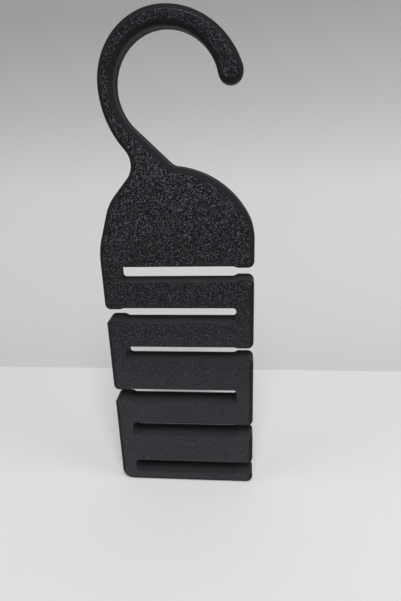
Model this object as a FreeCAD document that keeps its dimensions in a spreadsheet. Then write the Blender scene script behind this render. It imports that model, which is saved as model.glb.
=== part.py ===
import FreeCAD, Part
import math
import os
import re
from collections import namedtuple

import Sketcher

# A tie hanger, printed flat in one piece: an open hook, a leaning neck, a D-shaped shoulder plate and a
# ladder of bars parted by slots. Each slot is closed at one end by a link and open at the other between two
# jaws, whose lips keep a tie from sliding out. The front view lies in the XZ plane with +Z up and the front
# face towards -Y. The origin is on the axis of the rod that the hook hangs on, halfway through the plate.

os.makedirs("parts", exist_ok=True)
document = FreeCAD.newDocument("tie_hanger")

# Driving dimensions, in millimetres and degrees

SIZES = (
    ("body_width", "75", "bars and shoulder plate from side to side"),
    ("thickness", "11", "front face to back face"),
    ("edge_bevel", "2.6", "bevel along the front edge of the outline"),
    ("body_shift", "0.85", "middle of the bars to the right of the rod's axis"),
    ("rod_seat_radius", "22.8", "inside of the hook"),
    ("hook_top_wall", "7.8", "hook's wall above the rod"),
    ("hook_front_radius", "34.7", "outside of the hook on the tip's side"),
    ("hook_back_radius", "29.5", "outside of the hook on the neck's side"),
    ("tip_rise", "5.5", "middle of the tip's round above the rod's axis"),
    ("neck_radius", "40.7", "outside of the neck"),
    ("shank_angle", "44.2", "fall of the neck's inner side"),
    ("waist_radius", "9.7", "hollow where the neck meets the shoulder"),
    ("waist_drop", "32.3", "middle of that hollow below the face where the hook meets the neck"),
    ("seam_angle", "25", "slope of the face where the neck meets the shoulder plate"),
    ("throat_radius", "6.1", "hollow between the neck's inner side and the crown"),
    ("crown_radius", "43", "rounded top of the shoulder plate"),
    ("crown_drop", "32.8", "highest point of the crown's circle below the rod's axis"),
    ("crown_shift", "2.25", "crown's circle past the right side"),
    ("shoulder_radius", "21.9", "round from the crown to the right side"),
    ("slope_angle", "49.1", "upper left edge of the shoulder plate"),
    ("slope_radius", "22.9", "round between the two left edges"),
    ("flank_angle", "72.8", "lower left edge of the shoulder plate"),
    ("flank_radius", "39.5", "round from the lower left edge to the left side"),
    ("flank_rise", "2.2", "start of that round above the first slot"),
    ("first_slot_drop", "78.8", "upper side of the first slot below the rod's axis"),
    ("slot_height", "8", "each slot between two bars"),
    ("slot_end_radius", "1.7", "hollow in the corners of a slot's closed end"),
    ("link_width", "8.75", "link that closes a slot"),
    ("slim_bar_height", "13.4", "bars under the first, second and fourth slots"),
    ("tall_bar_height", "17.2", "bars under the third and fifth slots"),
    ("bottom_bar_height", "6.1", "bar under the last slot"),
    ("jaw_length", "7.9", "jaw at a slot's mouth, along the slot"),
    ("jaw_height", "5.5", "jaw from its lip into the bar"),
    ("lip_height", "1.1", "lip of a jaw into the slot"),
    ("lip_ramp", "2.2", "ramp from the slot up to the lip"),
    ("mouth_face_radius", "0.5", "corner of a jaw on the front face"),
    ("foot_radius", "6.4", "lower left corner of the bottom bar"),
)
SLOT_MOUTHS = ("right", "left", "right", "left", "right", "right")
BAR_HEIGHTS = ("slim_bar_height", "slim_bar_height", "tall_bar_height", "slim_bar_height", "tall_bar_height")
EDGE_SEARCH_SHARE = 1e-6
BEVEL_WALL_SHARE = 0.4
ROUND_EDGE_SHARE = 0.9
FOOT_CORNER_SHARE = 0.8

sheet = document.addObject("Spreadsheet::Sheet", "Sizes")
for row, (alias, number, meaning) in enumerate(SIZES, start=1):
    sheet.set(f"A{row}", alias)
    sheet.set(f"B{row}", number)
    sheet.setAlias(f"B{row}", alias)
    sheet.set(f"C{row}", meaning)
document.recompute()
ALIASES = {alias for alias, number, meaning in SIZES}


def bound(formula):
    """The formula with each size named as a cell of the sheet."""
    return re.sub(r"[a-z_]+", lambda word: f"Sizes.{word[0]}" if word[0] in ALIASES else word[0], formula)


def amount(formula):
    """The formula's present value."""
    return float(sheet.evalExpression(bound(formula)))


# Outlines

# A sketch numbers the points of an element, and its own origin is the start of element -1.
EDGE, START, END, CENTRE = range(4)
ORIGIN = (-1, START)
Element = namedtuple("Element", "index first last middle bevelled")


def plane_point(x, z):
    return FreeCAD.Vector(x, z, 0)


def towards(degrees):
    """Unit vector at an angle from +X towards +Z."""
    return plane_point(math.cos(math.radians(degrees)), math.sin(math.radians(degrees)))


class Outline:
    """A closed front-view outline of one body, drawn along its edge and tied to the sheet."""

    def __init__(self, name, start):
        self.name = name
        self.body = document.addObject("PartDesign::Body", name)
        self.body.Label = name
        plane = next(feature for feature in self.body.Origin.OriginFeatures if feature.Role == "XZ_Plane")
        self.sketch = self.body.newObject("Sketcher::SketchObject", f"{name}_outline")
        self.sketch.AttachmentSupport = [(plane, "")]
        self.sketch.MapMode = "FlatFace"
        self.elements = []
        self.pen = start

    def line(self, end, smooth=False, bevelled=False):
        index = self.sketch.addGeometry(Part.LineSegment(self.pen, end))
        return self.add(Element(index, START, END, (self.pen + end) / 2, bevelled), end, smooth)

    def arc(self, end, centre, clockwise=False, smooth=False, bevelled=False):
        first, last = (end, self.pen) if clockwise else (self.pen, end)
        angles = [math.atan2(point.y - centre.y, point.x - centre.x) for point in (first, last)]
        sweep = (angles[1] - angles[0]) % math.tau
        circle = Part.Circle(centre, FreeCAD.Vector(0, 0, 1), (first - centre).Length)
        index = self.sketch.addGeometry(Part.ArcOfCircle(circle, angles[0], angles[0] + sweep))
        middle = centre + towards(math.degrees(angles[0] + sweep / 2)) * circle.Radius
        ends = (END, START) if clockwise else (START, END)
        return self.add(Element(index, *ends, middle, bevelled), end, smooth)

    def add(self, element, end, smooth):
        if self.elements:
            self.join(self.elements[-1], element, smooth)
        self.elements.append(element)
        self.pen = end
        return element

    def join(self, before, after, smooth=False):
        kind = "Tangent" if smooth else "Coincident"
        self.tie(kind, before.index, before.last, after.index, after.first)

    def close(self, smooth=False):
        self.join(self.elements[-1], self.elements[0], smooth)

    def tie(self, kind, *members, size=None):
        """Adds a constraint, whose size, if it has one, follows the sheet."""
        if size is None:
            self.sketch.addConstraint(Sketcher.Constraint(kind, *members))
            return
        value = math.radians(amount(size)) if kind == "Angle" else amount(size)
        number = self.sketch.addConstraint(Sketcher.Constraint(kind, *members, value))
        self.sketch.setExpression(f"Constraints[{number}]", bound(size))

    def place(self, element, point, x=None, z=None):
        """Ties a point of an element to its distances from the origin."""
        if x is not None:
            self.tie("DistanceX", *ORIGIN, element.index, point, size=x)
        if z is not None:
            self.tie("DistanceY", *ORIGIN, element.index, point, size=z)

    def radius(self, element, size):
        self.tie("Radius", element.index, size=size)

    def slope(self, element, size):
        self.tie("Angle", element.index, size=size)

    def pad(self):
        pad = self.body.newObject("PartDesign::Pad", f"{self.name}_pad")
        pad.Profile = self.sketch
        pad.SideType = "Symmetric"
        pad.setExpression("Length", bound("thickness"))
        self.sketch.Visibility = False
        return pad

    def bevel_front(self, pad):
        """Bevels the front edges of the elements that lie on the hanger's outline."""
        front = -amount("thickness") / 2
        reach = amount("thickness") * EDGE_SEARCH_SHARE
        names = []
        for element in self.elements:
            if not element.bevelled:
                continue
            middle = Part.Vertex(element.middle.x, front, element.middle.y)
            for number, edge in enumerate(pad.Shape.Edges, start=1):
                if edge.distToShape(middle)[0] < reach:
                    names.append(f"Edge{number}")
        bevel = self.body.newObject("PartDesign::Chamfer", f"{self.name}_front_bevel")
        bevel.Base = (pad, names)
        bevel.setExpression("Size", bound(FRONT_BEVEL))
        pad.Visibility = False


# Upper part: the hook, the neck and the shoulder plate, whose lines and arcs run on smoothly

RIGHT = "(body_shift + body_width / 2)"
LEFT = "(body_shift - body_width / 2)"
HOOK_TOP = "(rod_seat_radius + hook_top_wall)"
UPPER_SEAM = f"({HOOK_TOP} - hook_back_radius)"
FIRST_SLOT = "(-first_slot_drop)"
NECK_CENTRE_X = "(neck_radius - hook_back_radius)"
WAIST_REACH = "sqrt((neck_radius + waist_radius) ^ 2 - waist_drop ^ 2)"
WAIST_X = f"({NECK_CENTRE_X} - {WAIST_REACH})"
WAIST_Z = f"({UPPER_SEAM} - waist_drop)"
CROWN_CENTRE_X = f"({RIGHT} + crown_shift - crown_radius)"
CROWN_CENTRE_Z = "(-crown_drop - crown_radius)"
FRONT_BEVEL = f"min(edge_bevel; (hook_back_radius - rod_seat_radius) * {BEVEL_WALL_SHARE})"

# The two left edges of the shoulder plate: distance of each from the origin, length of each from its other
# round to the corner where the two would meet, and the round of that corner, which both edges limit

FLANK_CENTRE_X = f"({LEFT} + flank_radius)"
FLANK_CENTRE_Z = f"({FIRST_SLOT} + flank_rise)"
SLOPE_OFF = f"(cos(slope_angle) * {WAIST_Z} - sin(slope_angle) * {WAIST_X} - waist_radius)"
FLANK_OFF = f"(cos(flank_angle) * {FLANK_CENTRE_Z} - sin(flank_angle) * {FLANK_CENTRE_X} + flank_radius)"
SLOPE_START = f"(cos(slope_angle) * {WAIST_X} + sin(slope_angle) * {WAIST_Z})"
FLANK_START = f"(cos(flank_angle) * {FLANK_CENTRE_X} + sin(flank_angle) * {FLANK_CENTRE_Z})"
EDGE_TURN = "(flank_angle - slope_angle)"
SLOPE_LENGTH = f"({SLOPE_START} - ({SLOPE_OFF} * cos{EDGE_TURN} - {FLANK_OFF}) / sin{EDGE_TURN})"
FLANK_LENGTH = f"(({SLOPE_OFF} - {FLANK_OFF} * cos{EDGE_TURN}) / sin{EDGE_TURN} - {FLANK_START})"
ROUND_LIMIT = f"(min({SLOPE_LENGTH}; {FLANK_LENGTH}) * {ROUND_EDGE_SHARE} / tan({EDGE_TURN} / 2))"
SLOPE_ROUND = f"min(slope_radius; {ROUND_LIMIT})"

ROD_CENTRE = plane_point(0, 0)
seat = amount("rod_seat_radius")
seam_height = amount(UPPER_SEAM)
seam_inside = plane_point(-math.sqrt(seat**2 - seam_height**2), seam_height)
seam_outside = plane_point(-amount("hook_back_radius"), seam_height)
neck_centre = plane_point(amount(NECK_CENTRE_X), seam_height)
waist_centre = plane_point(amount(WAIST_X), amount(WAIST_Z))
shank_run = towards(-amount("shank_angle"))
shank_outward = plane_point(shank_run.y, -shank_run.x)
shank_start = shank_outward * seat
seam_run = towards(amount("seam_angle"))
seam_length = (seat - waist_centre.dot(shank_outward)) / seam_run.dot(shank_outward)
neck_seam_inside = waist_centre + seam_run * seam_length
neck_seam_outside = waist_centre + seam_run * amount("waist_radius")


def hook():
    front_radius = amount("hook_front_radius")
    front_centre = plane_point(0, amount(HOOK_TOP) - front_radius)
    back_centre = plane_point(0, seam_height)
    rise = amount("tip_rise")
    difference = rise**2 - (rise - front_centre.y) ** 2
    tip_radius = (difference / (seat + front_radius) + front_radius - seat) / 2
    tip_centre = plane_point(math.sqrt((seat + tip_radius) ** 2 - rise**2), rise)
    tip_inside = tip_centre * (seat / (seat + tip_radius))
    tip_outward = (tip_centre - front_centre) / (front_radius - tip_radius)
    tip_outside = front_centre + tip_outward * front_radius
    top = plane_point(0, amount(HOOK_TOP))

    outline = Outline("hook", tip_inside)
    inner = outline.arc(seam_inside, ROD_CENTRE, bevelled=True)
    seam = outline.line(seam_outside)
    back = outline.arc(top, back_centre, clockwise=True, bevelled=True)
    front = outline.arc(tip_outside, front_centre, clockwise=True, smooth=True, bevelled=True)
    tip = outline.arc(tip_inside, tip_centre, clockwise=True, smooth=True, bevelled=True)
    outline.close(smooth=True)
    outline.tie("Coincident", *ORIGIN, inner.index, CENTRE)
    outline.radius(inner, "rod_seat_radius")
    outline.radius(back, "hook_back_radius")
    outline.radius(front, "hook_front_radius")
    outline.tie("Horizontal", seam.index)
    outline.tie("Horizontal", back.index, back.first, back.index, CENTRE)
    outline.tie("Vertical", *ORIGIN, front.index, CENTRE)
    outline.tie("Vertical", *ORIGIN, back.index, back.last)
    outline.place(back, back.last, z=HOOK_TOP)
    outline.place(tip, CENTRE, z="tip_rise")
    return outline


def neck():
    join = neck_centre + (waist_centre - neck_centre).normalize() * amount("neck_radius")

    outline = Outline("neck", seam_inside)
    inner = outline.arc(shank_start, ROD_CENTRE, bevelled=True)
    shank = outline.line(neck_seam_inside, smooth=True, bevelled=True)
    seam = outline.line(neck_seam_outside)
    waist = outline.arc(join, waist_centre, bevelled=True)
    outside = outline.arc(seam_outside, neck_centre, clockwise=True, smooth=True, bevelled=True)
    upper_seam = outline.line(seam_inside)
    outline.close()
    outline.tie("Coincident", *ORIGIN, inner.index, CENTRE)
    outline.radius(inner, "rod_seat_radius")
    outline.slope(shank, "-shank_angle")
    outline.tie("PointOnObject", waist.index, CENTRE, seam.index)
    outline.slope(seam, "seam_angle - 180")
    outline.radius(waist, "waist_radius")
    outline.place(waist, CENTRE, z=WAIST_Z)
    outline.radius(outside, "neck_radius")
    outline.tie("Horizontal", outside.index, outside.last, outside.index, CENTRE)
    outline.place(outside, outside.last, x="-hook_back_radius", z=UPPER_SEAM)
    outline.tie("Horizontal", upper_seam.index)
    return outline


def shoulder_plate():
    crown_radius = amount("crown_radius")
    crown_centre = plane_point(amount(CROWN_CENTRE_X), amount(CROWN_CENTRE_Z))
    throat = amount("throat_radius")
    throat_base = shank_outward * (seat - throat) - crown_centre
    along = throat_base.dot(shank_run)
    spare = throat_base.Length**2 - (crown_radius + throat) ** 2
    throat_centre = crown_centre + throat_base + shank_run * (-along - math.sqrt(along**2 - spare))
    throat_top = throat_centre + shank_outward * throat
    throat_foot = crown_centre + (throat_centre - crown_centre).normalize() * crown_radius

    right = amount(RIGHT)
    shoulder = amount("shoulder_radius")
    shoulder_x = right - shoulder
    shoulder_rise = math.sqrt((crown_radius - shoulder) ** 2 - (shoulder_x - crown_centre.x) ** 2)
    shoulder_centre = plane_point(shoulder_x, crown_centre.y + shoulder_rise)
    crown_end = crown_centre + (shoulder_centre - crown_centre).normalize() * crown_radius

    left = amount(LEFT)
    flank_radius = amount("flank_radius")
    flank_centre = plane_point(amount(FLANK_CENTRE_X), amount(FLANK_CENTRE_Z))
    flank_outward = towards(amount("flank_angle + 90"))
    slope_outward = towards(amount("slope_angle + 90"))
    flank_foot = flank_centre + flank_outward * flank_radius
    slope_top = waist_centre - slope_outward * amount("waist_radius")
    slope_radius = amount(SLOPE_ROUND)
    flank_reach = flank_foot.dot(flank_outward) - slope_radius
    slope_reach = slope_top.dot(slope_outward) - slope_radius
    cross = flank_outward.x * slope_outward.y - flank_outward.y * slope_outward.x
    slope_centre = plane_point(
        (flank_reach * slope_outward.y - slope_reach * flank_outward.y) / cross,
        (slope_reach * flank_outward.x - flank_reach * slope_outward.x) / cross,
    )
    flank_top = slope_centre + flank_outward * slope_radius
    slope_foot = slope_centre + slope_outward * slope_radius

    jaw_top = f"{FIRST_SLOT} + jaw_height - lip_height"
    jaw_inside = f"{RIGHT} - jaw_length"
    link_inside = f"{LEFT} + link_width"
    lower = amount(FIRST_SLOT)
    seat_height = lower - amount("slot_end_radius")
    hollow_centre = plane_point(amount(f"{link_inside} + slot_end_radius"), seat_height)

    outline = Outline("shoulder_plate", neck_seam_outside)
    seam = outline.line(neck_seam_inside)
    shank = outline.line(throat_top, bevelled=True)
    hollow = outline.arc(throat_foot, throat_centre, smooth=True, bevelled=True)
    crown = outline.arc(crown_end, crown_centre, clockwise=True, smooth=True, bevelled=True)
    round_right = outline.arc(
        plane_point(right, shoulder_centre.y), shoulder_centre, clockwise=True, smooth=True, bevelled=True
    )
    right_side = outline.line(plane_point(right, amount(jaw_top)), smooth=True, bevelled=True)
    notch = outline.line(plane_point(amount(jaw_inside), amount(jaw_top)))
    notch_side = outline.line(plane_point(amount(jaw_inside), lower - amount("lip_height")))
    ramp = outline.line(plane_point(amount(f"{jaw_inside} - lip_ramp"), lower))
    slot_side = outline.line(plane_point(hollow_centre.x, lower))
    corner = outline.arc(plane_point(amount(link_inside), seat_height), hollow_centre, smooth=True)
    link_seat = outline.line(plane_point(left, seat_height))
    left_side = outline.line(plane_point(left, flank_centre.y), bevelled=True)
    flank_round = outline.arc(flank_foot, flank_centre, clockwise=True, smooth=True, bevelled=True)
    flank = outline.line(flank_top, smooth=True, bevelled=True)
    slope_round = outline.arc(slope_foot, slope_centre, clockwise=True, smooth=True, bevelled=True)
    slope = outline.line(slope_top, smooth=True, bevelled=True)
    waist = outline.arc(neck_seam_outside, waist_centre, smooth=True, bevelled=True)
    outline.close()
    outline.slope(seam, "seam_angle")
    outline.tie("PointOnObject", waist.index, CENTRE, seam.index)
    outline.place(waist, CENTRE, x=WAIST_X, z=WAIST_Z)
    outline.radius(waist, "waist_radius")
    outline.slope(shank, "-shank_angle")
    outline.tie("Distance", *ORIGIN, shank.index, size="rod_seat_radius")
    outline.radius(hollow, "throat_radius")
    outline.radius(crown, "crown_radius")
    outline.place(crown, CENTRE, x=CROWN_CENTRE_X, z=CROWN_CENTRE_Z)
    outline.radius(round_right, "shoulder_radius")
    outline.tie("Vertical", right_side.index)
    outline.place(right_side, right_side.last, x=RIGHT, z=jaw_top)
    outline.tie("Horizontal", notch.index)
    outline.tie("Vertical", notch_side.index)
    outline.place(notch_side, notch_side.last, x=jaw_inside, z=f"{FIRST_SLOT} - lip_height")
    outline.place(ramp, ramp.last, x=f"{jaw_inside} - lip_ramp", z=FIRST_SLOT)
    outline.tie("Horizontal", slot_side.index)
    outline.radius(corner, "slot_end_radius")
    outline.place(corner, corner.last, x=link_inside)
    outline.tie("Horizontal", corner.index, corner.last, corner.index, CENTRE)
    outline.tie("Horizontal", link_seat.index)
    outline.tie("Vertical", left_side.index)
    outline.place(left_side, left_side.last, x=LEFT, z=FLANK_CENTRE_Z)
    outline.radius(flank_round, "flank_radius")
    outline.slope(flank, "flank_angle")
    outline.radius(slope_round, SLOPE_ROUND)
    outline.slope(slope, "slope_angle")
    return outline


# Ladder: bars, links and jaws, drawn clockwise from corner to corner

Corner = namedtuple("Corner", "x z radius hollow", defaults=(None, False))
SIDES = {"left": (LEFT, "+"), "right": (RIGHT, "-")}
MOUTH_RADIUS = f"({FRONT_BEVEL} + mouth_face_radius)"


def opposite(side):
    return "left" if side == "right" else "right"


def backwards(corners):
    """The same stretch from its other end: an arc is kept with the later of its two corners."""
    arcs = [(None, False)] + [(corner.radius, corner.hollow) for corner in reversed(corners)]
    return [Corner(corner.x, corner.z, *arc) for corner, arc in zip(reversed(corners), arcs)]


def cornered(name, corners, bevelled):
    """An outline through corners; bevelled holds those that end an edge of the hanger's own outline."""
    points = [plane_point(amount(corner.x), amount(corner.z)) for corner in corners]
    outline = Outline(name, points[-1])
    for corner, point in zip(corners, points):
        on_edge = corner in bevelled
        if corner.radius is None:
            element = outline.line(point, bevelled=on_edge)
        else:
            chord = point - outline.pen
            size = amount(corner.radius)
            side = plane_point(-chord.y, chord.x).normalize() * (1 if corner.hollow else -1)
            offset = math.sqrt(size**2 - (chord.Length / 2) ** 2)
            centre = (point + outline.pen) / 2 + side * offset
            element = outline.arc(point, centre, clockwise=not corner.hollow, bevelled=on_edge)
            outline.radius(element, corner.radius)
        outline.place(element, element.last, x=corner.x, z=corner.z)
    outline.close()
    return outline


def link_seat(side, face, away):
    """A bar's end that carries a link, from the outer side to the hollow at the slot's end."""
    outer, inward = SIDES[side]
    inner = f"({outer} {inward} link_width)"
    height = f"({face} {away} slot_end_radius)"
    return [
        Corner(outer, height),
        Corner(inner, height),
        Corner(f"{inner} {inward} slot_end_radius", face, "slot_end_radius", True),
    ]


def jaw_notch(side, face, away):
    """A bar's end that carries a jaw, from the outer side to the foot of the lip's ramp."""
    outer, inward = SIDES[side]
    inner = f"({outer} {inward} jaw_length)"
    lip = f"({face} {away} lip_height)"
    back = "-" if away == "+" else "+"
    return [
        Corner(outer, f"{lip} {back} jaw_height"),
        Corner(inner, f"{lip} {back} jaw_height"),
        Corner(inner, lip),
        Corner(f"{inner} {inward} lip_ramp", face),
    ]


def bar_end(side, mouth, face, away):
    return jaw_notch(side, face, away) if side == mouth else link_seat(side, face, away)


def tie_bar(name, top, bottom, mouth_above, mouth_below):
    upper_left = bar_end("left", mouth_above, top, "+")
    upper_right = backwards(bar_end("right", mouth_above, top, "+"))
    lower_right = bar_end("right", mouth_below, bottom, "-")
    lower_left = backwards(bar_end("left", mouth_below, bottom, "-"))
    corners = upper_left + upper_right + lower_right + lower_left
    return cornered(name, corners, bevelled=(lower_right[0], upper_left[0]))


def bottom_bar(top, bottom, mouth):
    upper_left = link_seat(opposite(mouth), top, "+")
    ramp = backwards(jaw_notch(mouth, top, "+"))[:2]
    foot_end = Corner(f"({LEFT} + foot_radius)", bottom)
    foot = Corner(LEFT, f"({bottom} + foot_radius)", "foot_radius")
    corners = upper_left + ramp + [Corner(ramp[-1].x, bottom), foot_end, foot]
    return cornered("bottom_bar", corners, bevelled=(foot_end, foot, upper_left[0]))


def end_link(name, side, top, bottom):
    outer, inward = SIDES[side]
    inner = f"({outer} {inward} link_width)"
    upper = f"({top} - slot_end_radius)"
    lower = f"({bottom} + slot_end_radius)"
    across = (inner, outer) if side == "right" else (outer, inner)
    corners = [
        Corner(across[0], lower),
        Corner(across[0], upper),
        Corner(across[1], upper),
        Corner(across[1], lower),
    ]
    return cornered(name, corners, bevelled=(corners[1] if side == "left" else corners[3],))


def jaw(name, side, face, away, foot=None):
    """A jaw with its lip and rounded corner; one with a foot reaches the hanger's lower edge."""
    outer, inward = SIDES[side]
    inner = f"({outer} {inward} jaw_length)"
    lip = f"({face} {away} lip_height)"
    back = "-" if away == "+" else "+"
    bend = f"({outer} {inward} {MOUTH_RADIUS})"
    flat_end = Corner(bend, lip)
    side_start = Corner(outer, f"({lip} {back} {MOUTH_RADIUS})", MOUTH_RADIUS)
    if foot is None:
        base = f"({lip} {back} jaw_height)"
        side_end = [Corner(outer, base)]
    else:
        base = foot
        bow = f"(({lip} - {foot} - {MOUTH_RADIUS}) * {FOOT_CORNER_SHARE})"
        side_end = [Corner(outer, f"({foot} + {bow})"), Corner(f"({outer} {inward} {bow})", foot, bow)]
    corners = [Corner(inner, lip), flat_end, side_start] + side_end + [Corner(inner, base)]
    on_edge = [flat_end, side_start] + side_end + (corners[-1:] if foot else [])
    if (side == "right") == (away == "+"):
        return cornered(name, corners, bevelled=on_edge)
    corners = backwards(corners)
    return cornered(name, corners, bevelled=corners[2:])


outlines = [hook(), neck(), shoulder_plate()]
slot_top = FIRST_SLOT
for number, mouth in enumerate(SLOT_MOUTHS, start=1):
    slot_bottom = f"({slot_top} - slot_height)"
    last = number == len(SLOT_MOUTHS)
    height = "bottom_bar_height" if last else BAR_HEIGHTS[number - 1]
    bar_bottom = f"({slot_bottom} - {height})"
    outlines.append(end_link(f"end_link_{number}", opposite(mouth), slot_top, slot_bottom))
    outlines.append(jaw(f"upper_jaw_{number}", mouth, slot_top, "-"))
    foot = bar_bottom if last else None
    outlines.append(jaw(f"lower_jaw_{number}", mouth, slot_bottom, "+", foot))
    if last:
        outlines.append(bottom_bar(slot_bottom, bar_bottom, mouth))
    else:
        outlines.append(tie_bar(f"tie_bar_{number}", slot_bottom, bar_bottom, mouth, SLOT_MOUTHS[number]))
    slot_top = bar_bottom

pads = [outline.pad() for outline in outlines]
document.recompute()
for outline, pad in zip(outlines, pads):
    outline.bevel_front(pad)
document.recompute()

# Every sketch is fully tied and every solid sound before any file is written

for item in document.Objects:
    if "Invalid" in item.State or "Error" in item.State:
        raise RuntimeError(f"{item.Label} failed: {item.State}")
for outline in outlines:
    shape = outline.body.Shape
    if outline.sketch.solve() != 0 or not outline.sketch.FullyConstrained:
        raise RuntimeError(f"{outline.name} has a loose or overtied outline")
    if shape.isNull() or not shape.isValid() or len(shape.Solids) != 1:
        raise RuntimeError(f"{outline.name} isn't one sound solid")
for outline in outlines:
    outline.body.Shape.exportStep(f"parts/{outline.body.Label}.step")
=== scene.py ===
"""A tie hanger printed in black plastic: its rounded edge, finishes, stage and camera."""

import math

import bmesh
import bpy
from bpy.props import FloatProperty, FloatVectorProperty, IntProperty, PointerProperty
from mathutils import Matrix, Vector
from mathutils.geometry import intersect_point_line


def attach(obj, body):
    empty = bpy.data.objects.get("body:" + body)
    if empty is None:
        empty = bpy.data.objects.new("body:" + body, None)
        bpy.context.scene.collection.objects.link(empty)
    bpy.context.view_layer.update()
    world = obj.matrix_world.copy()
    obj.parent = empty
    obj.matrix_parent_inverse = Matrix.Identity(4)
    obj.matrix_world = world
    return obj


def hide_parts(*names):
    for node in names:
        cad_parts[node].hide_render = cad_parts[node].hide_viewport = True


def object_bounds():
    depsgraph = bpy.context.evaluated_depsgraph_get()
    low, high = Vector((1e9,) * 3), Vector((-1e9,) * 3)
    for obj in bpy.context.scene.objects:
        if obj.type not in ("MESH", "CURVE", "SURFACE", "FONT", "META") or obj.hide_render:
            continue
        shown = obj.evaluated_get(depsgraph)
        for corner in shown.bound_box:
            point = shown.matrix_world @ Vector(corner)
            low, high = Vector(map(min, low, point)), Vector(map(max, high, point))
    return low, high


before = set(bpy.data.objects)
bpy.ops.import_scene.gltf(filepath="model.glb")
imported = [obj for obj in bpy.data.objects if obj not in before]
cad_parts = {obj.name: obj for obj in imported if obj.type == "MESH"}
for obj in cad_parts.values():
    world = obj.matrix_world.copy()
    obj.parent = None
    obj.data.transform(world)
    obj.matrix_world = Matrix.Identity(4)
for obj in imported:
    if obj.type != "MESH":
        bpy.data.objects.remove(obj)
CAD_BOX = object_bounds()

bl_info = {
    "name": "Printed tie hanger",
    "version": (1, 0, 0),
    "blender": (4, 5, 0),
    "location": "3D View > Sidebar > Hanger",
    "description": "Dresses a packed tie hanger as a black print and sets it on a pale stage",
    "category": "Object",
}

# All lengths are in metres. The front face looks towards -Y and was printed against a grained bed,
# so the layers of the print are stacked along Y.

FRONT = CAD_BOX[0][1]
BACK = CAD_BOX[1][1]
GROUND = CAD_BOX[0][2]
TOP = CAD_BOX[1][2]
SLOT_COUNT = 6
BAR_COUNT = 5

# Solids. Points this near are merged, and levels this near are one level. Faces that turn less than
# the flat angle are joined, and edges that turn more than the crease angle stay crisp. The share of
# a normal along Y tells the front, the back and the round from the walls.
MERGE_DISTANCE = 1e-7
LEVEL_REACH = 1e-5
FLAT_ANGLE = math.radians(0.4)
CREASE_ANGLE = math.radians(20)
FACING = 0.99
ROUND_TILT = 0.05

# Order of the finishes on a piece.
FACE_FINISH, ROUND_FINISH, WALL_FINISH, BACK_FINISH = range(4)

# Scale at which one band of the Wave Texture is one unit wide.
ONE_BAND = math.pi / 10

# Front face. Painted glints on the grain are brightest at one height and fade down to another and
# up to the top.
GLINT_BRIGHT = 0.12 * GROUND
GLINT_FAINT = 0.62 * GROUND
FACE_ROUGHNESS = 0.25
FACE_TINT = (0.88, 0.88, 1.0)

# Walls. The noise is stretched along the layers. This share of the rear depth has the full tone of
# the painted shadow.
LAYER_STRETCH = (60.0, 2500.0, 60.0)
LAYER_DETAIL = 2.0
LAYER_UNEVENNESS = 0.9
LAYER_STRENGTH = 0.6
LAYER_RANGE = (0.3, 0.7)
SHADOW_FULL = 0.75
WALL_ROUGHNESS = (0.5, 0.6)
WALL_IOR = 1.12

# Back face. The streaks are counted in strands, and their tones are shares of the plastic's colour.
STRAND_WANDER = 0.6
STRAND_DETAIL = 1.0
STRAND_STRENGTH = 0.7
STREAK_SCALE = 0.45
STREAK_DETAIL = 3.0
STREAK_RANGE = (0.32, 0.68)
STREAK_TONES = (0.3, 1.9)
BACK_ROUGHNESS = (0.36, 0.52)
BACK_IOR = 1.4

# Paper of the stage. Its tone changes between two heights: the backdrop darkens upwards as a
# painted falloff of the light.
FALLOFF_START = 0.4 * GROUND
FALLOFF_END = -0.5 * GROUND
FIBRE_SCALE = 400.0
FIBRE_DETAIL = 3.0
FIBRE_DEPTH = 0.0002
FIBRE_STRENGTH = 0.1
PAPER_ROUGHNESS = 0.8
PAPER_SPECULAR = 0.2
BEND_SEGMENTS = 32

# Camera.
PICTURE_HEIGHT_MM = 36.0
CAMERA_NEAR = 0.01


class HangerEdge(bpy.types.PropertyGroup):
    """The round along the front edge of the outline."""

    width: FloatProperty(
        name="Width",
        description="Width of the bevel in the solids, which the round takes over",
        default=0.0026,
        unit="LENGTH",
        precision=5,
    )
    segments: IntProperty(
        name="Segments",
        description="Strips of faces along the round",
        default=8,
        min=2,
        max=16,
    )
    mouth_radius: FloatProperty(
        name="Mouth corner",
        description="Radius of the outer corner of a mouth",
        default=0.0031,
        unit="LENGTH",
        precision=5,
    )
    upper_lip: FloatProperty(
        name="Upper lip",
        description="Share of the round that is left on the upper lip of a mouth",
        default=0.6,
        subtype="FACTOR",
        min=0.0,
        max=1.0,
    )
    lower_lip: FloatProperty(
        name="Lower lip",
        description="Share of the round that is left on the lower lip of a mouth",
        default=0.0,
        subtype="FACTOR",
        min=0.0,
        max=1.0,
    )


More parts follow.
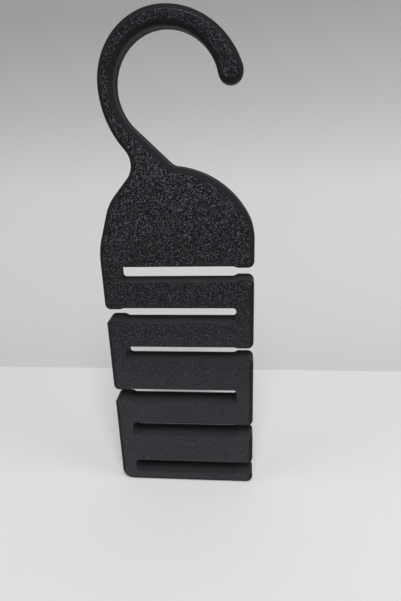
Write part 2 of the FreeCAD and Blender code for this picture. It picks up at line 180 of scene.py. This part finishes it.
class HangerFinish(bpy.types.PropertyGroup):
    """Colours and surface sizes of the print."""

    plastic: FloatVectorProperty(
        name="Plastic",
        description="Colour of the walls, and middle tone of the back",
        default=(0.031, 0.0305, 0.035),
        subtype="COLOR",
    )
    # The round's darker colour is painted shade; its plastic is the same as the walls'.
    round_shade: FloatVectorProperty(
        name="Round",
        description="Colour of the round along the front edge",
        default=(0.02, 0.0198, 0.0228),
        subtype="COLOR",
    )
    # The walls' darker rear is a painted shadow, as cast by each bar onto the rear of the slot
    # below it.
    shadow_depth: FloatProperty(
        name="Rear",
        description="Depth of the darker part of the walls, from the back",
        default=0.0042,
        unit="LENGTH",
        precision=5,
    )
    shadow_share: FloatProperty(
        name="Rear tone",
        description="Share of the walls' colour that is left towards the back",
        default=0.4,
        subtype="FACTOR",
        min=0.0,
        max=1.0,
    )
    # The dark colour in the hollows of the grain is painted shade, far darker than the walls'
    # plastic.
    shaded_pit: FloatVectorProperty(
        name="Grain, pits",
        description="Colour in the pits of the front face's grain",
        default=(0.003, 0.003, 0.0042),
        subtype="COLOR",
    )
    # The bright colour of a few grains is a painted glint.
    glint_peak: FloatVectorProperty(
        name="Grain, peaks",
        description="Colour on the peaks of the front face's grain",
        default=(0.33, 0.33, 0.36),
        subtype="COLOR",
    )
    grain_size: FloatProperty(
        name="Grain",
        description="Distance from grain to grain on the front face",
        default=0.00027,
        unit="LENGTH",
        precision=5,
    )
    grain_depth: FloatProperty(
        name="Grain depth",
        description="Height of the grains of the front face",
        default=0.00004,
        unit="LENGTH",
        precision=5,
    )
    grain_spread: FloatProperty(
        name="Grain spread",
        description="How few of the grains are bright: a higher value leaves fewer",
        default=9.0,
    )
    # These fades of the grain's glints towards the foot and up the hook are painted falloff of the
    # light.
    glint_foot: FloatProperty(
        name="Grain at the foot",
        description="Share of the grain's brightness that is left towards the foot",
        default=0.22,
        subtype="FACTOR",
        min=0.0,
        max=1.0,
    )
    glint_hook: FloatProperty(
        name="Grain on the hook",
        description="Share of the grain's brightness that is left at the top of the hook",
        default=0.35,
        subtype="FACTOR",
        min=0.0,
        max=1.0,
    )
    layer_height: FloatProperty(
        name="Layer",
        description="Height of one layer of the print",
        default=0.0002,
        unit="LENGTH",
        precision=5,
    )
    layer_depth: FloatProperty(
        name="Layer depth",
        description="Depth of the groove between two layers",
        default=0.00002,
        unit="LENGTH",
        precision=6,
    )
    strand_width: FloatProperty(
        name="Strand",
        description="Width of a laid strand on the back face",
        default=0.00042,
        unit="LENGTH",
        precision=5,
    )
    strand_length: FloatProperty(
        name="Strand length",
        description="Length over which a strand changes its tone",
        default=0.012,
        unit="LENGTH",
        precision=5,
    )
    strand_slant: FloatProperty(
        name="Strand slant",
        description="Angle between the strands and the length of the hanger",
        default=math.radians(45),
        subtype="ANGLE",
    )
    strand_depth: FloatProperty(
        name="Strand depth",
        description="Depth of the groove between two strands",
        default=0.00004,
        unit="LENGTH",
        precision=6,
    )


class HangerStage(bpy.types.PropertyGroup):
    """Floor, backdrop, room, lamps and camera."""

    floor: FloatVectorProperty(
        name="Floor",
        description="Colour of the sheet that the hanger stands on",
        default=(0.84, 0.84, 0.835),
        subtype="COLOR",
    )
    backdrop_low: FloatVectorProperty(
        name="Backdrop, low",
        description="Colour of the backdrop near the floor",
        default=(0.7, 0.7, 0.696),
        subtype="COLOR",
    )
    # The backdrop's darker top is painted falloff of the light.
    backdrop_shaded_top: FloatVectorProperty(
        name="Backdrop, high",
        description="Colour of the backdrop well above the hanger",
        default=(0.4, 0.4, 0.398),
        subtype="COLOR",
    )
    sheet_behind: FloatProperty(
        name="Sheet behind",
        description="Depth of the sheet behind the hanger",
        default=0.126,
        unit="LENGTH",
    )
    sheet_thickness: FloatProperty(
        name="Sheet thickness",
        description="Thickness of the sheet",
        default=0.0004,
        unit="LENGTH",
        precision=5,
    )
    floor_front: FloatProperty(
        name="Floor in front",
        description="Depth of the floor in front of the hanger",
        default=0.2,
        unit="LENGTH",
    )
    backdrop_width: FloatProperty(
        name="Backdrop width",
        description="Width of the floor and of the backdrop",
        default=1.6,
        unit="LENGTH",
    )
    backdrop_height: FloatProperty(
        name="Backdrop height",
        description="Height of the backdrop above the floor",
        default=0.7,
        unit="LENGTH",
    )
    backdrop_behind: FloatProperty(
        name="Backdrop distance",
        description="Distance of the backdrop behind the hanger",
        default=0.36,
        unit="LENGTH",
    )
    backdrop_bend: FloatProperty(
        name="Backdrop bend",
        description="Radius between the floor and the backdrop",
        default=0.22,
        unit="LENGTH",
    )
    room_tone: FloatVectorProperty(
        name="Room",
        description="Colour of the room beyond the floor and the backdrop",
        default=(0.18, 0.18, 0.18),
        subtype="COLOR",
    )
    left_lamp: FloatProperty(
        name="Left lamp",
        description="Power of the soft lamp on the left",
        default=0.9,
        unit="POWER",
    )
    left_place: FloatVectorProperty(
        name="Left lamp's place",
        description="Place of the lamp on the left",
        default=(-0.6, -0.22, 0.22),
        subtype="TRANSLATION",
    )
    right_lamp: FloatProperty(
        name="Right lamp",
        description="Power of the soft lamp on the right",
        default=1.5,
        unit="POWER",
    )
    right_place: FloatVectorProperty(
        name="Right lamp's place",
        description="Place of the lamp on the right",
        default=(0.65, -0.22, 0.22),
        subtype="TRANSLATION",
    )
    side_size: FloatProperty(
        name="Side lamps' size",
        description="Length of a side of the lamps on the left and right",
        default=0.4,
        unit="LENGTH",
    )
    front_lamp: FloatProperty(
        name="Front lamp",
        description="Power of the main lamp, high in front",
        default=17.2,
        unit="POWER",
    )
    front_place: FloatVectorProperty(
        name="Front lamp's place",
        description="Place of the main lamp",
        default=(0.15, -0.85, 1.15),
        subtype="TRANSLATION",
    )
    front_size: FloatProperty(
        name="Front lamp's size",
        description="Length of a side of the main lamp",
        default=0.6,
        unit="LENGTH",
    )
    room_light: FloatProperty(
        name="Room light",
        description="Strength of the even light of the room",
        default=0.06,
    )
    camera_place: FloatVectorProperty(
        name="Camera",
        description="Place of the camera",
        default=(0.03161, -0.21617, -0.01671),
        subtype="TRANSLATION",
        precision=5,
    )
    camera_turn: FloatVectorProperty(
        name="Camera turn",
        description="Turn of the camera about X, Y and Z",
        default=(math.radians(69.43), math.radians(1.77), math.radians(4.62)),
        subtype="EULER",
    )
    camera_lens: FloatProperty(
        name="Lens",
        description="Focal length for a picture that is 36 mm high, in millimetres",
        default=27.56,
    )


def shader(tree, kind, inputs=None, **settings):
    """Adds a shader node, sets its fields and fills or links its inputs."""
    node = tree.nodes.new(kind)
    for field, value in settings.items():
        setattr(node, field, value)
    for socket, value in (inputs or {}).items():
        if isinstance(value, bpy.types.NodeSocket):
            tree.links.new(value, node.inputs[socket])
        else:
            node.inputs[socket].default_value = value
    return node


def blank_material(name):
    """An empty material, its node tree and the coordinates of the object."""
    material = bpy.data.materials.new(name)
    material.use_nodes = True
    tree = material.node_tree
    tree.nodes.clear()
    place = shader(tree, "ShaderNodeTexCoord").outputs["Object"]
    return material, tree, place


def finish_material(tree, inputs):
    """Closes a material with a shader that takes these inputs."""
    surface = shader(tree, "ShaderNodeBsdfPrincipled", inputs).outputs["BSDF"]
    shader(tree, "ShaderNodeOutputMaterial", {"Surface": surface})


def colour(values):
    """An opaque colour for a node's socket."""
    return (*values, 1.0)


def part_of(tree, vector, axis):
    """One coordinate of a vector."""
    return shader(tree, "ShaderNodeSeparateXYZ", {"Vector": vector}).outputs[axis]


def spread(tree, value, start, end, low=0.0, high=1.0):
    """A value that goes from low to high while another goes from start to end."""
    limits = {"From Min": start, "From Max": end, "To Min": low, "To Max": high}
    return shader(tree, "ShaderNodeMapRange", {"Value": value, **limits}, clamp=True).outputs[0]


def arithmetic(tree, operation, *values):
    """The result of an operation on numbers and sockets."""
    return shader(tree, "ShaderNodeMath", dict(enumerate(values)), operation=operation).outputs[0]


def blend_colours(tree, share, first, second):
    """A colour between two, by a share."""
    inputs = {"Factor": share, "A": colour(first), "B": colour(second)}
    return shader(tree, "ShaderNodeMix", inputs, data_type="RGBA").outputs["Result"]


def relief(tree, height, depth, strength):
    """A normal that follows a height."""
    inputs = {"Height": height, "Distance": depth, "Strength": strength}
    return shader(tree, "ShaderNodeBump", inputs).outputs["Normal"]


def bands(tree, place, axis, scale, wander=0.0, detail=0.0):
    """Even bands side by side along an axis, which may wander."""
    inputs = {"Vector": place, "Scale": scale, "Distortion": wander, "Detail": detail}
    fields = {"wave_type": "BANDS", "bands_direction": axis, "wave_profile": "SIN"}
    return shader(tree, "ShaderNodeTexWave", inputs, **fields).outputs["Fac"]


def cloud(tree, place, scale, detail):
    """Soft noise."""
    inputs = {"Vector": place, "Scale": scale, "Detail": detail}
    return shader(tree, "ShaderNodeTexNoise", inputs).outputs["Fac"]


def grained_face(finish):
    """The front face: the bed's grain, painted shade in its hollows, and painted glints that fade
    to the foot and up the hook.
    """
    material, tree, place = blank_material("Grained face, painted glints")
    inputs = {"Vector": place, "Scale": 1.0 / finish.grain_size, "Randomness": 1.0}
    grains = shader(tree, "ShaderNodeTexVoronoi", inputs, feature="F1").outputs
    chance = shader(tree, "ShaderNodeSeparateColor", {"Color": grains["Color"]}).outputs["Red"]
    # Painted glints: a few grains get a bright colour, which fades by height where the light falls
    # off.
    painted_glint = arithmetic(tree, "POWER", chance, finish.grain_spread)
    rise = part_of(tree, place, "Z")
    for faint, share in ((GLINT_FAINT, finish.glint_foot), (TOP, finish.glint_hook)):
        fade = spread(tree, rise, faint, GLINT_BRIGHT, low=share)
        painted_glint = arithmetic(tree, "MULTIPLY", painted_glint, fade)
    finish_material(
        tree,
        {
            "Base Color": blend_colours(tree, painted_glint, finish.shaded_pit, finish.glint_peak),
            "Roughness": FACE_ROUGHNESS,
            "Specular Tint": colour(FACE_TINT),
            "Normal": relief(tree, grains["Distance"], finish.grain_depth, strength=1.0),
        },
    )
    return material


def layered(name, tone, finish, shadow_tone=None):
    """Fine layers that run round the outline, in one tone or with a painted shadow towards the
    back.
    """
    material, tree, place = blank_material(name)
    base = colour(tone)
    if shadow_tone is not None:
        # A painted shadow: the walls' colour darkens towards the back.
        limits = (BACK - finish.shadow_depth, BACK - SHADOW_FULL * finish.shadow_depth)
        rear = spread(tree, part_of(tree, place, "Y"), *limits)
        base = blend_colours(tree, rear, tone, shadow_tone)
    layers = bands(tree, place, "Y", ONE_BAND / finish.layer_height)
    along = shader(tree, "ShaderNodeMapping", {"Vector": place, "Scale": LAYER_STRETCH}).outputs[0]
    drift = cloud(tree, along, 1.0, LAYER_DETAIL)
    groove = arithmetic(tree, "MULTIPLY_ADD", drift, LAYER_UNEVENNESS, layers)
    finish_material(
        tree,
        {
            "Base Color": base,
            "Roughness": spread(tree, drift, *LAYER_RANGE, *WALL_ROUGHNESS),
            "IOR": WALL_IOR,
            "Normal": relief(tree, groove, finish.layer_depth, LAYER_STRENGTH),
        },
    )
    return material


def layered_wall(finish):
    """The walls between front and back, darker towards the back: a painted shadow."""
    shadow_tone = finish.shadow_share * Vector(finish.plastic)
    return layered("Layered wall, painted shadow", finish.plastic, finish, shadow_tone)


def shaded_round(finish):
    """The round along the front edge, in a darker tone that is painted shade."""
    return layered("Layered round, painted shade", finish.round_shade, finish)


def stranded_back(finish):
    """The back face: the last layer's strands, side by side on the slant in uneven tones."""
    material, tree, place = blank_material("Stranded back")
    inputs = {
        "Vector": place,
        "Rotation": (0.0, finish.strand_slant, 0.0),
        "Scale": (finish.strand_width, finish.strand_width, finish.strand_length),
    }
    slant = shader(tree, "ShaderNodeMapping", inputs, vector_type="TEXTURE").outputs[0]
    strands = bands(tree, slant, "X", ONE_BAND, STRAND_WANDER, STRAND_DETAIL)
    streaks = spread(tree, cloud(tree, slant, STREAK_SCALE, STREAK_DETAIL), *STREAK_RANGE)
    dark, bright = (share * Vector(finish.plastic) for share in STREAK_TONES)
    finish_material(
        tree,
        {
            "Base Color": blend_colours(tree, streaks, dark, bright),
            "Roughness": spread(tree, streaks, 0.0, 1.0, *BACK_ROUGHNESS),
            "IOR": BACK_IOR,
            "Normal": relief(tree, strands, finish.strand_depth, STRAND_STRENGTH),
        },
    )
    return material


def print_materials(finish):
    """The finishes of the print in their order, made once and shared by all pieces."""
    makers = {
        "Grained face, painted glints": grained_face,
        "Layered round, painted shade": shaded_round,
        "Layered wall, painted shadow": layered_wall,
        "Stranded back": stranded_back,
    }
    return [bpy.data.materials.get(name) or make(finish) for name, make in makers.items()]


def at_level(vertex, level):
    """Whether a corner lies at a level between front and back."""
    return abs(vertex.co.y - level) < LEVEL_REACH


def bevelled_rims(mesh, brink):
    """The stretches of the outline along which the solid is bevelled, as pairs of points."""
    return [
        (side.verts[0].co.copy(), side.verts[1].co.copy())
        for side in mesh.edges
        if at_level(side.verts[0], brink) and at_level(side.verts[1], brink)
    ]


def on_rim(side, rims):
    """Whether the middle of an edge of the front outline lies on a bevelled stretch."""
    middle = (side.verts[0].co + side.verts[1].co) / 2
    for start, end in rims:
        spot = Vector((middle.x, start.y, middle.z))
        nearest, share = intersect_point_line(spot, start, end)
        if 0 <= share <= 1 and (nearest - spot).length < LEVEL_REACH:
            return True
    return False


def lip_start(number):
    """The front corner where the lip of an upper jaw meets the ramp of the piece beside it."""
    spots = [vertex.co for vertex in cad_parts[f"upper_jaw_{number}"].data.vertices]
    bottom = min(spot.z for spot in spots)
    lip = [spot for spot in spots if spot.z < bottom + LEVEL_REACH]
    start = min(lip, key=lambda spot: abs(spot.x))
    return Vector((start.x, FRONT, start.z))


def ramp_to(tip, outline):
    """The slanted edge of the outline that ends at a tip, and its upper and lower corner."""
    for side in outline:
        low, high = sorted(side.verts, key=lambda vertex: vertex.co.z)
        if (low.co - tip).length < LEVEL_REACH and abs(high.co.x - tip.x) > LEVEL_REACH:
            return side, high.co.copy(), low.co.copy()
    raise ValueError("no ramp runs down to the lip")


def jaw_shares(corners, level, lip_share, mouth_radius):
    """Shares of the round, from a lip's own at a level to the whole past the mouth's corner."""
    climbs = [min(abs(corner.z - level) / mouth_radius, 1.0) for corner in corners]
    return [lip_share + (1 - lip_share) * climb for climb in climbs]


def ease_round(mesh, corners, shares, width):
    """Draws the round back to its corners, so that each corner keeps its share."""
    for vertex in mesh.verts:
        if vertex.co.y < FRONT + width + LEVEL_REACH:
            spot = vertex.co.xz
            near = min(range(len(corners)), key=lambda index: (corners[index].xz - spot).length)
            vertex.co = corners[near].lerp(vertex.co, shares[near])
    bmesh.ops.remove_doubles(mesh, verts=mesh.verts, dist=MERGE_DISTANCE)
    bmesh.ops.dissolve_degenerate(mesh, edges=mesh.edges, dist=MERGE_DISTANCE)


def finish_of(face):
    """The finish of a face, by the lean of its normal."""
    if face.normal.y < -FACING:
        return FACE_FINISH
    if face.normal.y > FACING:
        return BACK_FINISH
    return ROUND_FINISH if face.normal.y < -ROUND_TILT else WALL_FINISH


def vertices_in(geometry):
    """The vertices among what an operator made."""
    return [item for item in geometry if isinstance(item, bmesh.types.BMVert)]


def slab_of(node, width):
    """A slab with the outline of a node, and the stretches along which its solid is bevelled."""
    mesh = bmesh.new()
    mesh.from_mesh(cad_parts[node].data)
    bmesh.ops.remove_doubles(mesh, verts=mesh.verts, dist=MERGE_DISTANCE)
    bmesh.ops.dissolve_limit(mesh, angle_limit=FLAT_ANGLE, verts=mesh.verts, edges=mesh.edges)
    rims = bevelled_rims(mesh, FRONT + width)
    back = max(mesh.faces, key=lambda face: face.normal.y * face.calc_area())
    bmesh.ops.delete(mesh, geom=[face for face in mesh.faces if face is not back], context="FACES")
    raised = bmesh.ops.extrude_face_region(mesh, geom=[back], use_keep_orig=True)["geom"]
    bmesh.ops.translate(mesh, verts=vertices_in(raised), vec=(0, FRONT - BACK, 0))
    bmesh.ops.recalc_face_normals(mesh, faces=mesh.faces)
    return mesh, rims


def round_off(mesh, sides, width, segments):
    """Rounds edges of a mesh."""
    bmesh.ops.bevel(
        mesh,
        geom=sides,
        offset=width,
        offset_type="OFFSET",
        segments=segments,
        profile=0.5,
        affect="EDGES",
        material=-1,
    )


def add_object(scene, name, mesh, materials):
    """Makes an object of a mesh and puts it in the scene."""
    data = bpy.data.meshes.new(name)
    mesh.to_mesh(data)
    mesh.free()
    data.set_sharp_from_angle(angle=CREASE_ANGLE)
    for material in materials:
        data.materials.append(material)
    made = bpy.data.objects.new(name, data)
    scene.collection.objects.link(made)
    return made


def printed_piece(node, scene, tip=None):
    """Copies a node, rounds its front edge and gives its face, walls and back their finishes.

    The round eases off along the lips of the jaws, and along the ramp that runs down to a tip.
    """
    edge = scene.hanger_edge
    mesh, rims = slab_of(node, edge.width)
    outline = [side for side in mesh.edges if all(at_level(vertex, FRONT) for vertex in side.verts)]
    corners = [vertex.co.copy() for vertex in mesh.verts if at_level(vertex, FRONT)]
    heights = [corner.z for corner in corners]
    shares = [1.0] * len(corners)
    rounded = [side for side in outline if on_rim(side, rims)]
    if node.startswith("upper_jaw"):
        shares = jaw_shares(corners, min(heights), edge.upper_lip, edge.mouth_radius)
    elif node.startswith("lower_jaw"):
        shares = jaw_shares(corners, max(heights), edge.lower_lip, edge.mouth_radius)
    elif tip:
        ramp, start, end = ramp_to(tip, outline)
        rounded.append(ramp)
        shares[corners.index(start)] = 0.0
        shares[corners.index(end)] = edge.upper_lip
    round_off(mesh, rounded, edge.width, edge.segments)
    ease_round(mesh, corners, shares, edge.width)
    mesh.normal_update()
    for face in mesh.faces:
        face.smooth = abs(face.normal.y) < FACING
        face.material_index = finish_of(face)
    piece = add_object(scene, f"{node}_print", mesh, print_materials(scene.hanger_finish))
    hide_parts(node)
    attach(piece, "root")


class HANGER_OT_hook(bpy.types.Operator):
    """Add the open hook that hangs on the rod"""

    bl_idname = "hanger.hook"
    bl_label = "Hook"

    def execute(self, context):
        printed_piece("hook", context.scene)
        return {"FINISHED"}


class HANGER_OT_neck(bpy.types.Operator):
    """Add the leaning neck under the hook"""

    bl_idname = "hanger.neck"
    bl_label = "Neck"

    def execute(self, context):
        printed_piece("neck", context.scene)
        return {"FINISHED"}


class HANGER_OT_shoulder_plate(bpy.types.Operator):
    """Add the D-shaped plate above the first slot"""

    bl_idname = "hanger.shoulder_plate"
    bl_label = "Shoulder plate"

    def execute(self, context):
        printed_piece("shoulder_plate", context.scene, tip=lip_start(1))
        return {"FINISHED"}


class HANGER_OT_bars(bpy.types.Operator):
    """Add the bars that the ties hang over and the bar at the foot"""

    bl_idname = "hanger.bars"
    bl_label = "Bars"

    def execute(self, context):
        for number in range(1, BAR_COUNT + 1):
            printed_piece(f"tie_bar_{number}", context.scene, tip=lip_start(number + 1))
        printed_piece("bottom_bar", context.scene)
        return {"FINISHED"}


class HANGER_OT_end_links(bpy.types.Operator):
    """Add the links that close one end of each slot"""

    bl_idname = "hanger.end_links"
    bl_label = "End links"

    def execute(self, context):
        for number in range(1, SLOT_COUNT + 1):
            printed_piece(f"end_link_{number}", context.scene)
        return {"FINISHED"}


class HANGER_OT_jaws(bpy.types.Operator):
    """Add the jaws above and below the mouth of each slot"""

    bl_idname = "hanger.jaws"
    bl_label = "Jaws"

    def execute(self, context):
        for number in range(1, SLOT_COUNT + 1):
            printed_piece(f"upper_jaw_{number}", context.scene)
            printed_piece(f"lower_jaw_{number}", context.scene)
        return {"FINISHED"}


def paper_material(name, low, high=None):
    """Pale paper in one colour, or in one that changes to another on the way up as painted falloff
    of the light.
    """
    material, tree, place = blank_material(name)
    base = colour(low)
    if high is not None:
        rise = part_of(tree, place, "Z")
        # Painted falloff of the light: the colour changes with height.
        base = blend_colours(tree, spread(tree, rise, FALLOFF_START, FALLOFF_END), low, high)
    fibres = cloud(tree, place, FIBRE_SCALE, FIBRE_DETAIL)
    finish_material(
        tree,
        {
            "Base Color": base,
            "Roughness": PAPER_ROUGHNESS,
            "Specular IOR Level": PAPER_SPECULAR,
            "Normal": relief(tree, fibres, FIBRE_DEPTH, FIBRE_STRENGTH),
        },
    )
    return material


def flat_paper(stage, behind):
    """A mesh of the paper under the hanger, which ends at a distance behind it."""
    mesh = bmesh.new()
    half = stage.backdrop_width / 2
    front = -stage.floor_front
    under = GROUND - stage.sheet_thickness
    corners = [(-half, front), (half, front), (half, behind), (-half, behind)]
    mesh.faces.new([mesh.verts.new((x, y, under)) for x, y in corners])
    return mesh


def add_sheet(scene):
    """Adds the thin sheet that the hanger stands on."""
    stage = scene.hanger_stage
    mesh = flat_paper(stage, stage.sheet_behind)
    raised = bmesh.ops.extrude_face_region(mesh, geom=mesh.faces[:], use_keep_orig=True)["geom"]
    bmesh.ops.translate(mesh, verts=vertices_in(raised), vec=(0, 0, stage.sheet_thickness))
    bmesh.ops.recalc_face_normals(mesh, faces=mesh.faces)
    sheet = add_object(scene, "sheet", mesh, [paper_material("Sheet paper", stage.floor)])


def add_backdrop(scene):
    """Adds the floor under the sheet, which bends up into the backdrop."""
    stage = scene.hanger_stage
    mesh = flat_paper(stage, stage.backdrop_behind)
    rear = max(mesh.edges, key=lambda side: side.verts[0].co.y + side.verts[1].co.y)
    raised = bmesh.ops.extrude_edge_only(mesh, edges=[rear])["geom"]
    bmesh.ops.translate(mesh, verts=vertices_in(raised), vec=(0, 0, stage.backdrop_height))
    round_off(mesh, [rear], stage.backdrop_bend, BEND_SEGMENTS)
    for face in mesh.faces:
        face.smooth = True
    bmesh.ops.recalc_face_normals(mesh, faces=mesh.faces)
    paper = paper_material("Backdrop paper, painted falloff", stage.backdrop_low, stage.backdrop_shaded_top)
    backdrop = add_object(scene, "backdrop", mesh, [paper])


def room_around(stage):
    """A room that is seen and mirrored in its own tone, and lights the hanger only a little."""
    world = bpy.data.worlds.new("Room")
    world.use_nodes = True
    tree = world.node_tree
    tree.nodes.clear()
    seen = shader(tree, "ShaderNodeBackground", {"Color": colour(stage.room_tone)}).outputs[0]
    glow = {"Color": colour((1.0, 1.0, 1.0)), "Strength": stage.room_light}
    light = shader(tree, "ShaderNodeBackground", glow).outputs[0]
    path = shader(tree, "ShaderNodeLightPath").outputs
    looks = path["Is Camera Ray"]
    for other in ("Is Glossy Ray", "Is Transmission Ray"):
        looks = arithmetic(tree, "MAXIMUM", looks, path[other])
    both = shader(tree, "ShaderNodeMixShader", {0: looks, 1: light, 2: seen}).outputs[0]
    shader(tree, "ShaderNodeOutputWorld", {"Surface": both})
    return world


def add_lamp(scene, name, power, size, place):
    """Adds a square soft lamp that is turned to the middle of the hanger."""
    lamp = bpy.data.lights.new(name, "AREA")
    lamp.shape = "SQUARE"
    lamp.size = size
    lamp.energy = power
    holder = bpy.data.objects.new(name, lamp)
    holder.location = place
    middle = (CAD_BOX[0] + CAD_BOX[1]) / 2
    holder.rotation_euler = (middle - Vector(place)).to_track_quat("-Z", "Y").to_euler()
    scene.collection.objects.link(holder)


def add_camera(scene):
    """Adds the camera at the place from which the hanger was photographed."""
    stage = scene.hanger_stage
    camera = bpy.data.cameras.new("Camera")
    camera.sensor_fit = "VERTICAL"
    camera.sensor_height = PICTURE_HEIGHT_MM
    camera.lens = stage.camera_lens
    camera.clip_start = CAMERA_NEAR
    holder = bpy.data.objects.new("Camera", camera)
    holder.location = stage.camera_place
    holder.rotation_euler = stage.camera_turn
    scene.collection.objects.link(holder)
    scene.camera = holder


class HANGER_OT_stage(bpy.types.Operator):
    """Add the floor, the backdrop, the lamps, the room and the camera"""

    bl_idname = "hanger.stage"
    bl_label = "Stage"

    def execute(self, context):
        scene = context.scene
        stage = scene.hanger_stage
        add_sheet(scene)
        add_backdrop(scene)
        add_lamp(scene, "Left lamp", stage.left_lamp, stage.side_size, stage.left_place)
        add_lamp(scene, "Right lamp", stage.right_lamp, stage.side_size, stage.right_place)
        add_lamp(scene, "Front lamp", stage.front_lamp, stage.front_size, stage.front_place)
        scene.world = room_around(stage)
        add_camera(scene)
        scene.view_settings.view_transform = "Standard"
        return {"FINISHED"}


class HANGER_PT_panel(bpy.types.Panel):
    """Buttons for the pieces and the stage, and their sizes and colours"""

    bl_label = "Tie hanger"
    bl_idname = "HANGER_PT_panel"
    bl_space_type = "VIEW_3D"
    bl_region_type = "UI"
    bl_category = "Hanger"

    def draw(self, context):
        layout = self.layout
        for operator in OPERATORS:
            layout.operator(operator.bl_idname)
        for group in GROUPS:
            box = layout.box()
            values = getattr(context.scene, group)
            for name in values.bl_rna.properties.keys():
                if name not in {"rna_type", "name"}:
                    box.prop(values, name)


GROUPS = {"hanger_edge": HangerEdge, "hanger_finish": HangerFinish, "hanger_stage": HangerStage}
OPERATORS = (
    HANGER_OT_hook,
    HANGER_OT_neck,
    HANGER_OT_shoulder_plate,
    HANGER_OT_bars,
    HANGER_OT_end_links,
    HANGER_OT_jaws,
    HANGER_OT_stage,
)


def register():
    """Adds the classes and their properties to Blender."""
    for name, group in GROUPS.items():
        bpy.utils.register_class(group)
        setattr(bpy.types.Scene, name, PointerProperty(type=group))
    for operator in OPERATORS:
        bpy.utils.register_class(operator)
    bpy.utils.register_class(HANGER_PT_panel)


def unregister():
    """Takes the classes and their properties out again."""
    bpy.utils.unregister_class(HANGER_PT_panel)
    for operator in reversed(OPERATORS):
        bpy.utils.unregister_class(operator)
    for name, group in reversed(GROUPS.items()):
        delattr(bpy.types.Scene, name)
        bpy.utils.unregister_class(group)


def main():
    """Registers the add-on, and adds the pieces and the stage."""
    register()
    bpy.ops.hanger.hook()
    bpy.ops.hanger.neck()
    bpy.ops.hanger.shoulder_plate()
    bpy.ops.hanger.bars()
    bpy.ops.hanger.end_links()
    bpy.ops.hanger.jaws()
    bpy.ops.hanger.stage()


if __name__ == "__main__":
    main()
